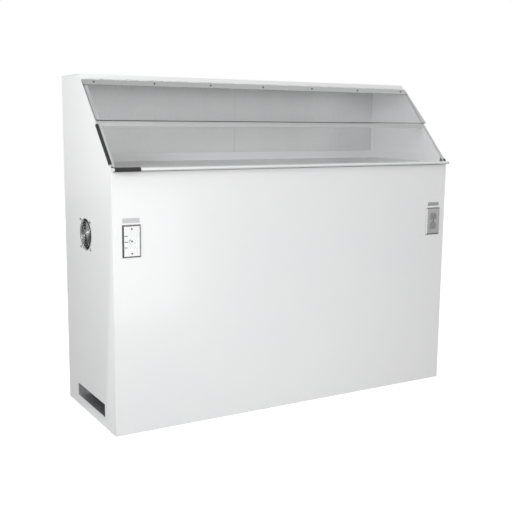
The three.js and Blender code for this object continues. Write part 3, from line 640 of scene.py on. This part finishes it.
def rebuild(node, name, mats, pick, bevel=0.4, segments=3, angle=30):
    """A finer copy of a CAD node's shape with its own face materials and rounded edges."""
    src = NODES[node]
    bm = bmesh.new()
    bm.from_mesh(src.data)
    bmesh.ops.remove_doubles(bm, verts=bm.verts, dist=1e-6)
    bmesh.ops.dissolve_limit(bm, angle_limit=math.radians(1), verts=bm.verts, edges=bm.edges)
    bmesh.ops.recalc_face_normals(bm, faces=bm.faces)
    for f in bm.faces:
        f.material_index = pick(f)
        f.smooth = True
    me = bpy.data.meshes.new(name)
    bm.to_mesh(me)
    bm.free()
    for mt in mats:
        me.materials.append(mt)
    o = bpy.data.objects.new(name, me)
    scene.collection.objects.link(o)
    b = o.modifiers.new("edge_radius", "BEVEL")
    b.width = bevel * MM
    b.segments = segments
    b.limit_method = "ANGLE"
    b.angle_limit = math.radians(angle)
    b.harden_normals = True
    me.set_sharp_from_angle(angle=math.radians(30))
    return place(o, src["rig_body"], (node,))


ROT_X = {k: Matrix.Rotation(math.radians(k), 4, "X") for k in (90, -90)}
TO_MINUS_X = Matrix.Rotation(math.radians(-90), 4, "Y")   # +Z -> -X
TO_MINUS_Y = Matrix.Rotation(math.radians(90), 4, "X")    # +Z -> -Y
TO_PLUS_Y = Matrix.Rotation(math.radians(-90), 4, "X")    # +Z -> +Y

# ------------------------------------------------------------------ visor
PIVOT = Vector((0, 0.02979973, 1.27381151))
VISOR_TURN = Matrix.Rotation(math.radians(46.5101 - 2.3), 4, "X")


def on_visor(x, y, z):
    return PIVOT + (VISOR_TURN @ Vector((x, y, z))) * MM


def visor_sheet():
    W_, y0, y1, z0, z1, c = 762.0, -213.0, -3.2, -4.2, -0.2, 1.0
    screws = [4.5 + 241 * i for i in range(-3, 4)]
    me = bpy.data.meshes.new("visor_blank")
    v, f = boxv(-W_, W_, y0, y1, z0, z1)
    me.from_pydata([tuple(Vector(p) * MM) for p in v], [], f)
    o = bpy.data.objects.new("visor_blank", me)
    scene.collection.objects.link(o)
    recalc(o)
    # rounded lower corners, then eased edges
    bm = bmesh.new()
    bm.from_mesh(me)
    corner = [e for e in bm.edges if abs((e.verts[0].co - e.verts[1].co).z) > 0.003 and e.verts[0].co.y < -0.1]
    bmesh.ops.bevel(bm, geom=corner, offset=4 * MM, segments=6, profile=0.5, affect="EDGES")
    rim = [e for e in bm.edges if len(e.link_faces) == 2 and e.link_faces[0].normal.angle(e.link_faces[1].normal) > math.radians(60)]
    bmesh.ops.bevel(bm, geom=rim, offset=c * MM, segments=3, profile=0.5, affect="EDGES")
    bm.to_mesh(me)
    bm.free()
    cut_parts = []
    for x in screws:
        lv, lf = lathe([(0, -9), (2.3, -9), (2.3, 5), (0, 5)], 28)
        cut_parts.append((xform(lv, Matrix.Translation((x, -15.5, 0))), lf))
    cv, cf = merge(*cut_parts)
    cm = bpy.data.meshes.new("visor_holes")
    cm.from_pydata([tuple(Vector(p) * MM) for p in cv], [], cf)
    co = bpy.data.objects.new("visor_holes", cm)
    scene.collection.objects.link(co)
    recalc(co)
    bo = o.modifiers.new("holes", "BOOLEAN")
    bo.operation = "DIFFERENCE"
    bo.solver = "EXACT"
    bo.object = co
    bpy.context.view_layer.update()
    dg = bpy.context.evaluated_depsgraph_get()
    me2 = bpy.data.meshes.new_from_object(o.evaluated_get(dg))
    bpy.data.objects.remove(o)
    bpy.data.objects.remove(co)
    me2.name = "visor_sheet"
    me2.materials.clear()
    me2.materials.append(MAT["clear_sheet"])
    me2.materials.append(MAT["clear_edge_painted_shade"])
    # The broad faces are clear. The edge faces are near-black as painted shade for the dark look of the sheet's cut
    # edges.
    for q in me2.polygons:
        q.material_index = 0 if abs(q.normal.z) > 0.9 else 1
        q.use_smooth = False
    me2.transform(Matrix.Translation(PIVOT) @ VISOR_TURN)
    v_ = bpy.data.objects.new("visor_sheet", me2)
    scene.collection.objects.link(v_)
    return place(v_, "visor", ("visor",))


visor_sheet()
for i in range(7):
    x = 4.5 + 241 * (i - 3)
    screw(f"visor_pan_screw_{i + 1}", "visor_screw_mesh", (3.6, 2.0, 1.8, 8.4), on_visor(x, -15.5, 1.18), MAT["screw_dark"], VISOR_TURN, "visor", (f"visor_screw_{i + 1}",))
nuts = []
for i in range(7):
    x = 4.5 + 241 * (i - 3)
    wv, wf = lathe([(0, -5.2), (4.4, -5.2), (4.5, -5.0), (4.5, -4.5), (4.4, -4.3), (0, -4.3)], 32)
    nv, nf = hexnut(7, -8.0, -5.2)
    dv, df = lathe([(0, -9.6), (1.2, -9.5), (2.3, -9.0), (2.9, -8.3), (3.0, -7.9), (0, -7.9)], 32)
    for v, f in ((wv, wf), (nv, nf), (dv, df)):
        nuts.append(([on_visor(p[0] + x, p[1] - 15.5, p[2]) for p in v], f))
nv, nf = merge(*nuts)
nut_o = obj("visor_acorn_nuts", nv, nf, MAT["bright_steel"], True, "visor", ())
nut_o.data.set_sharp_from_angle(angle=math.radians(35))

# ------------------------------------------------------------------ folded edge of the side linings, over the painted flanges
def on_slope(x, s_, o_):
    return Vector((x, 52 - s_ * 0.688232 - o_ * 0.725494, 1293 - s_ * 0.725494 + o_ * 0.688232)) * MM


for nm, sd in (("left", -1), ("right", 1)):
    xs = (747.3, 761.4)
    prof_ = [(28.9, -1.76), (444.0, -1.76), (444.0, -1.52), (28.9, -1.52)]
    vv = [on_slope(sd * x, a, b) for x in xs for a, b in prof_]
    ff = [(0, 1, 2, 3), (7, 6, 5, 4), (0, 4, 5, 1), (1, 5, 6, 2), (2, 6, 7, 3), (3, 7, 4, 0)]
    st = obj("lining_edge_strip_" + nm, vv, ff, MAT["strip_steel"], True, "cabinet", ())
    recalc(st)
    bvl = st.modifiers.new("edge_radius", "BEVEL")
    bvl.width = 0.1 * MM
    bvl.segments = 2
    bvl.harden_normals = True

# ------------------------------------------------------------------ side fan
FAN = Vector((-0.762, 0.015, 0.703))


def fan_ring(r, x, wire, seg=88):
    return tube([(x, FAN.y / MM + r * math.cos(2 * math.pi * i / seg), FAN.z / MM + r * math.sin(2 * math.pi * i / seg)) for i in range(seg)], wire, 10, True)


parts = []
for r, x in ((58.2, -764.3), (48.6, -764.9), (39.0, -765.3), (29.4, -765.5), (19.8, -765.6), (10.4, -765.6)):
    parts.append(fan_ring(r, x, 0.95))
for k in range(4):
    a = math.radians(45 + 90 * k)
    ca, sa = math.cos(a), math.sin(a)
    path = []
    for r, x in ((8.6, -763.75), (20, -763.7), (40, -763.6), (52, -763.45), (60, -763.35), (66.6, -763.3)):
        path.append((x, 15 + r * ca, 703 + r * sa))
    # the wire's end is bent into an eye round the screw
    cy, cz = 15 + 74.25 * ca, 703 + 74.25 * sa
    for j in range(25):
        q = a + math.pi + math.radians(18) + j / 24 * math.radians(360 - 26)
        path.append((-763.3, cy + 4.6 * math.cos(q), cz + 4.6 * math.sin(q)))
    parts.append(tube(path, 0.95, 10))
gv, gf = merge(*parts)
guard = obj("fan_finger_guard", [Vector(p) * MM for p in gv], gf, MAT["guard_wire"], True, "cabinet", ("fan_guard",))
# The outermost ring is coloured black as painted shade: it stands in for the shaded wall of the fan bore round the
# guard.
guard.data.materials.append(MAT["black_plastic"])
for q in guard.data.polygons:
    r_ = math.hypot(q.center.y * 1000 - 15, q.center.z * 1000 - 703)
    if 56.5 < r_ < 61.5:
        q.material_index = 1

for i, (a, b) in enumerate(((1, 1), (-1, 1), (-1, -1), (1, -1))):
    at = Vector((-0.76445, 0.015 + a * 0.0525, 0.703 + b * 0.0525))
    screw(f"fan_pan_screw_{i + 1}", "fan_screw_mesh", (4.2, 2.6, 1.8, 27), at, MAT["screw_steel"], TO_MINUS_X, "cabinet", (f"fan_screw_{i + 1}",))


def fan_blades():
    parts_ = []
    stations, nsec = 9, 9
    for k in range(7):
        base = 2 * math.pi * k / 7
        verts, faces = [], []
        for i in range(stations):
            t = i / (stations - 1)
            r = 18.6 + t * (52.6 - 18.6)
            chord = 21 + 9 * t
            pitch_ = math.radians(50 - 16 * t)
            sweep = math.radians(16) * t * t
            thick = 2.2 - 1.0 * t
            ring = []
            for side in (1, -1):
                rng = range(nsec) if side == 1 else range(nsec - 2, 0, -1)
                for j in rng:
                    u = j / (nsec - 1)
                    camber = 2.6 * 4 * u * (1 - u)
                    th = thick * (math.sqrt(max(0.0, 1 - (2 * u - 1) ** 2)) * 0.9 + 0.1) / 2
                    along = (u - 0.5) * chord
                    perp = camber + side * th
                    axial = along * math.sin(pitch_) + perp * math.cos(pitch_)
                    tang = along * math.cos(pitch_) - perp * math.sin(pitch_)
                    ang = base + sweep + tang / r
                    ring.append(len(verts))
                    verts.append((axial, r * math.cos(ang), r * math.sin(ang)))
            if i:
                m_ = len(ring)
                for j in range(m_):
                    faces.append((prev[j], prev[(j + 1) % m_], ring[(j + 1) % m_], ring[j]))
            else:
                faces.append(tuple(reversed(ring)))
            prev = ring
        faces.append(tuple(prev))
        parts_.append((verts, faces))
    return merge(*parts_)


hub_v, hub_f = lathe([(0, -13), (15, -13), (18, -12.4), (20, -10), (20, 12), (19.4, 14), (17, 14.6), (15.6, 14.6), (15.2, 14.2), (0, 14.2)], 64)
spin = Matrix.Translation((-743.2, 15, 703)) @ TO_MINUS_X
hub = (xform(hub_v, spin), hub_f)
bl_v, bl_f = fan_blades()
blades = ([Vector((p[0] - 743.2, p[1] + 15, p[2] + 703)) for p in bl_v], bl_f)
rv, rf = merge(hub, blades)
rotor = obj("fan_impeller", [Vector(p) * MM for p in rv], rf, MAT["fan_blades"], True, "fan", ("fan_rotor",))
recalc(rotor)
rotor.data.set_sharp_from_angle(angle=math.radians(40))
lv, lf = lathe([(0, 14.25), (14.6, 14.25), (14.6, 14.45), (14.4, 14.55), (0, 14.55)], 64)
disc = obj("fan_hub_disc", [Vector(p) * MM for p in xform(lv, spin)], lf, MAT["hub_foil"], True, "fan", ())
recalc(disc)
disc.data.set_sharp_from_angle(angle=math.radians(40))

# ------------------------------------------------------------------ switch and socket
flat_y = lambda f: 0 if (f.normal.y < -0.95) else 1
# The plates' front faces get the cover finish. Their bevels and sides get a darker steel as painted reflection and
# painted shade, for the dark edges of the raised covers.
rebuild("switch_plate", "switch_cover_plate", [MAT["cover_plate"], MAT["plate_edge_painted_reflection"]], flat_y, 0.35, 3)
rebuild("socket_plate", "socket_cover_plate", [MAT["socket_cover"], MAT["plate_edge_painted_reflection"]], flat_y, 0.35, 3)
for nm, x, dz, node, dep in (("switch_plate_screw_top", -691.75, 43.5, "switch_screw_top", 15), ("switch_plate_screw_bottom", -691.75, -43.5, "switch_screw_bottom", 15), ("socket_plate_screw", 697.5, 0, "socket_screw", 11)):
    screw(nm, "plate_screw_%d" % dep, (3.2, 1.7, 1.6, dep), Vector((x, -266.9, 707 + dz)) * MM, MAT["screw_dark"], TO_MINUS_Y, "cabinet", (node,))
prof = [(0, -3), (1.7, -2.7), (2.7, -1.5), (3.0, 0), (2.7, 1.6), (1.75, 3.0), (1.72, 5), (1.9, 9), (2.5, 14), (3.1, 19), (3.35, 22), (3.4, 24), (3.1, 25.6), (2.3, 26.6), (1.2, 27.0), (0, 27.05)]
tv, tf = lathe(prof, 40)
lever = obj("toggle_bat_lever", [Vector(p) * MM for p in xform(tv, Matrix.Translation((-691.75, -261, 707)) @ TO_MINUS_Y)], tf, MAT["bright_steel"], True, "toggle", ("toggle_lever",))
recalc(lever)
# Three plain marks beside the toggle's positions.
mk = []
for z, w in ((726, 12.5), (705.5, 13.5), (685, 10.5)):
    v, f = boxv(-719.5, -719.5 + w, -267.0, -266.72, z - 1.5, z + 1.5)
    mk.append((v, f))
mv, mf = merge(*mk)
marks = obj("switch_position_marks", [Vector(p) * MM for p in mv], mf, MAT["mark_ink"], False, "cabinet", ())
recalc(marks)
mb = marks.modifiers.new("edge", "BEVEL")
mb.width = 0.08 * MM
mb.segments = 2

# ------------------------------------------------------------------ filters
random.seed(7)


def pad(name, side, node):
    x0, x1, y0, y1, z0, z1 = 28.6, 671.4, -206.4, 206.4, 852.3, 871.6
    nx, ny = 96, 62
    verts, faces = [], []
    ph = [(random.uniform(0, 6.28), random.uniform(0.01, 0.05), random.uniform(0.01, 0.05)) for _ in range(10)]

    def edge(u, v, d=14.0):
        du = min(u - x0, x1 - u)
        dv = min(v - y0, y1 - v)
        k = 1.0
        for q in (du, dv):
            t = max(0.0, min(1.0, q / d))
            k *= math.sqrt(max(0.0, 1 - (1 - t) ** 2)) * 0.65 + 0.35
        return k

    def top(u, v):
        w = sum(math.sin(p + u * a + v * b) for p, a, b in ph) / len(ph)
        tuft = 1 - 0.10 * math.exp(-(((u - x0) % 80.35 - 40.2) ** 2 + ((v - y0) % 82.56 - 41.3) ** 2) / 90.0)
        return z0 + (z1 - z0 - 0.6) * edge(u, v) * tuft * (0.965 + 0.035 * w)

    def low(u, v):
        return z0 + (1 - edge(u, v, 9.0)) * 3.0

    def grid(fn):
        base = len(verts)
        for j in range(ny + 1):
            for i in range(nx + 1):
                u = x0 + (x1 - x0) * i / nx
                v = y0 + (y1 - y0) * j / ny
                verts.append(Vector((u * side, v, fn(u, v))) * MM)
        return base

    a = grid(top)
    b = grid(low)
    at = lambda base, i, j: base + j * (nx + 1) + i
    for j in range(ny):
        for i in range(nx):
            faces.append((at(a, i, j), at(a, i + 1, j), at(a, i + 1, j + 1), at(a, i, j + 1)))
            faces.append((at(b, i, j), at(b, i, j + 1), at(b, i + 1, j + 1), at(b, i + 1, j)))
    for i in range(nx):
        faces.append((at(b, i, 0), at(b, i + 1, 0), at(a, i + 1, 0), at(a, i, 0)))
        faces.append((at(a, i, ny), at(a, i + 1, ny), at(b, i + 1, ny), at(b, i, ny)))
    for j in range(ny):
        faces.append((at(a, 0, j), at(a, 0, j + 1), at(b, 0, j + 1), at(b, 0, j)))
        faces.append((at(b, nx, j), at(b, nx, j + 1), at(a, nx, j + 1), at(a, nx, j)))
    o = obj(name, verts, faces, MAT["filter_felt"], True, "cabinet", (node,))
    recalc(o)
    return o


pad("prefilter_felt_right", 1, "prefilter_pad_right")
pad("prefilter_felt_left", -1, "prefilter_pad_left")

# ------------------------------------------------------------------ lift-out grilles
def grille(name, side, node):
    X0, X1, Y0, Y1, zt, zb = 10.0, 710.0, -210.0, 210.0, 961.5, 960.3
    xs, ys = [X0], [Y0]
    pitch_x, slot_x, nx = 8.4, 3.2, 78
    pitch_y, slot_y, ny = 38.0, 30.0, 10
    x = (X0 + X1) / 2 - (nx * pitch_x) / 2 + (pitch_x - slot_x) / 2
    for i in range(nx):
        xs += [x + i * pitch_x, x + i * pitch_x + slot_x]
    xs.append(X1)
    y = (Y0 + Y1) / 2 - (ny * pitch_y) / 2 + (pitch_y - slot_y) / 2
    for j in range(ny):
        ys += [y + j * pitch_y, y + j * pitch_y + slot_y]
    ys.append(Y1)
    verts, faces = [], []
    nX, nY = len(xs), len(ys)
    for z in (zt, zb):
        for yy in ys:
            for xx in xs:
                verts.append(Vector((side * xx, yy, z)) * MM)
    at = lambda k, i, j: k * nX * nY + j * nX + i
    hole = lambda i, j: i % 2 == 1 and j % 2 == 1 and 0 < i < nX - 2 + 1 and 0 < j < nY - 2 + 1 and i < nX - 1 and j < nY - 1
    for j in range(nY - 1):
        for i in range(nX - 1):
            if hole(i, j):
                faces.append((at(0, i, j), at(0, i + 1, j), at(1, i + 1, j), at(1, i, j)))
                faces.append((at(0, i + 1, j + 1), at(0, i, j + 1), at(1, i, j + 1), at(1, i + 1, j + 1)))
                faces.append((at(0, i, j + 1), at(0, i, j), at(1, i, j), at(1, i, j + 1)))
                faces.append((at(0, i + 1, j), at(0, i + 1, j + 1), at(1, i + 1, j + 1), at(1, i + 1, j)))
            else:
                faces.append((at(0, i, j), at(0, i + 1, j), at(0, i + 1, j + 1), at(0, i, j + 1)))
                faces.append((at(1, i, j), at(1, i, j + 1), at(1, i + 1, j + 1), at(1, i + 1, j)))
    for i in range(nX - 1):
        faces.append((at(1, i, 0), at(1, i + 1, 0), at(0, i + 1, 0), at(0, i, 0)))
        faces.append((at(0, i, nY - 1), at(0, i + 1, nY - 1), at(1, i + 1, nY - 1), at(1, i, nY - 1)))
    for j in range(nY - 1):
        faces.append((at(0, 0, j), at(0, 0, j + 1), at(1, 0, j + 1), at(1, 0, j)))
        faces.append((at(1, nX - 1, j), at(1, nX - 1, j + 1), at(0, nX - 1, j + 1), at(0, nX - 1, j)))
    o = obj(name, verts, faces, MAT["stainless"], False, "cabinet", (node,))
    recalc(o)
    # locating rim under the sheet
    rim = []
    for bx in ((21, 22.2, -199, 199), (697.8, 699, -199, 199), (22.2, 697.8, -199, -197.8), (22.2, 697.8, 197.8, 199)):
        x0, x1, y0, y1 = bx
        v, f = boxv(min(side * x0, side * x1), max(side * x0, side * x1), y0, y1, 950.0, 960.25)
        rim.append((v, f))
    rv_, rf_ = merge(*rim)
    r_ = obj(name + "_rim", [Vector(q) * MM for q in rv_], rf_, MAT["stainless"], False, "cabinet", ())
    recalc(r_)
    return o


grille("perforated_grille_right", 1, "work_grille_right")
grille("perforated_grille_left", -1, "work_grille_left")

# ------------------------------------------------------------------ back panel fasteners
spots = [(x * 751.5, z) for x in (-1, 1) for z in (30, 265, 500, 735, 970, 1205)] + [(x, 11.0) for x in (-500, -250, 0, 250, 500)]
for i, (x, z) in enumerate(spots):
    screw(f"back_screw_{i + 1}", "back_screw_mesh", (4.2, 2.2, 1.8, 2.0), Vector((x, 262.05, z)) * MM, MAT["screw_steel"], TO_PLUS_Y, "cabinet")

# ------------------------------------------------------------------ floor
fl = bpy.data.meshes.new("studio_floor")
fl.from_pydata([(-9, -9, -0.0006), (9, -9, -0.0006), (9, 9, -0.0006), (-9, 9, -0.0006)], [], [(0, 1, 2, 3)])
floor = bpy.data.objects.new("studio_floor", fl)
scene.collection.objects.link(floor)
fmat, fnt, fp = new_mat("pale_floor")
f_out = [n for n in fnt.nodes if n.type == "OUTPUT_MATERIAL"][0]
fp.inputs["Base Color"].default_value = (0.36, 0.36, 0.36, 1)
fp.inputs["Roughness"].default_value = 0.9
fp.inputs["Specular IOR Level"].default_value = 0.1
f_seen = fnt.nodes.new("ShaderNodeBsdfDiffuse")
f_seen.inputs["Color"].default_value = (0.55, 0.55, 0.55, 1)
f_glow = fnt.nodes.new("ShaderNodeEmission")
f_glow.inputs["Strength"].default_value = 0.78
f_add = fnt.nodes.new("ShaderNodeAddShader")
f_mix = fnt.nodes.new("ShaderNodeMixShader")
f_path = fnt.nodes.new("ShaderNodeLightPath")
fnt.links.new(f_seen.outputs[0], f_add.inputs[0])
fnt.links.new(f_glow.outputs[0], f_add.inputs[1])
fnt.links.new(f_path.outputs["Is Camera Ray"], f_mix.inputs["Fac"])
fnt.links.new(fp.outputs[0], f_mix.inputs[1])
fnt.links.new(f_add.outputs[0], f_mix.inputs[2])
fnt.links.new(f_mix.outputs[0], f_out.inputs["Surface"])
fl.materials.append(fmat)
